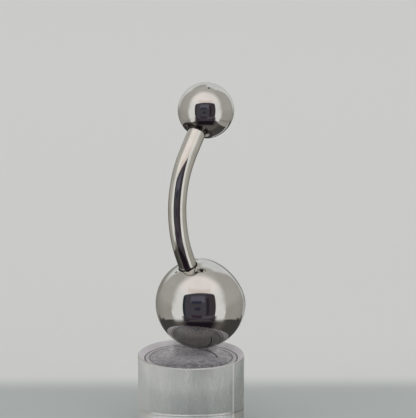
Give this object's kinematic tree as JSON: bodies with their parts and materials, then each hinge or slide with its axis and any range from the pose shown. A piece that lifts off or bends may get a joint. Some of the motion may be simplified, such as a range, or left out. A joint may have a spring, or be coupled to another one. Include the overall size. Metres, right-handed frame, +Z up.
{
  "type": "navel ring on clear display stand",
  "caption": "Curved barbell navel ring of polished steel, with a small screw-on ball and a large flatted ball, standing on a clear round rod.",
  "frame": {"origin": "centre of the clear rod's foot", "axes": "+Z up along the rod; the bar bends in a plane that holds the X direction and leans 4.5 degrees towards +Y, and it opens towards +X"},
  "size_m": [0.0117, 0.0094, 0.0298],
  "materials": {
    "clear_acrylic": "clear cast acrylic, polished side, sawn and lightly hazed end",
    "polished_steel": "surgical steel, mirror polished",
    "bar_steel": "surgical steel, polished along its length"
  },
  "bodies": {
    "ring_and_stand": {"stand": "clear_acrylic", "bottom_ball": "polished_steel", "bar": "bar_steel"},
    "small_ball": {"top_ball": "polished_steel"}
  },
  "joints": [
    {"name": "unscrew", "type": "slide", "parent": "ring_and_stand", "child": "small_ball", "axis": [0.6293, 0.061, 0.7748], "range_m": [0, 0.004]}
  ]
}
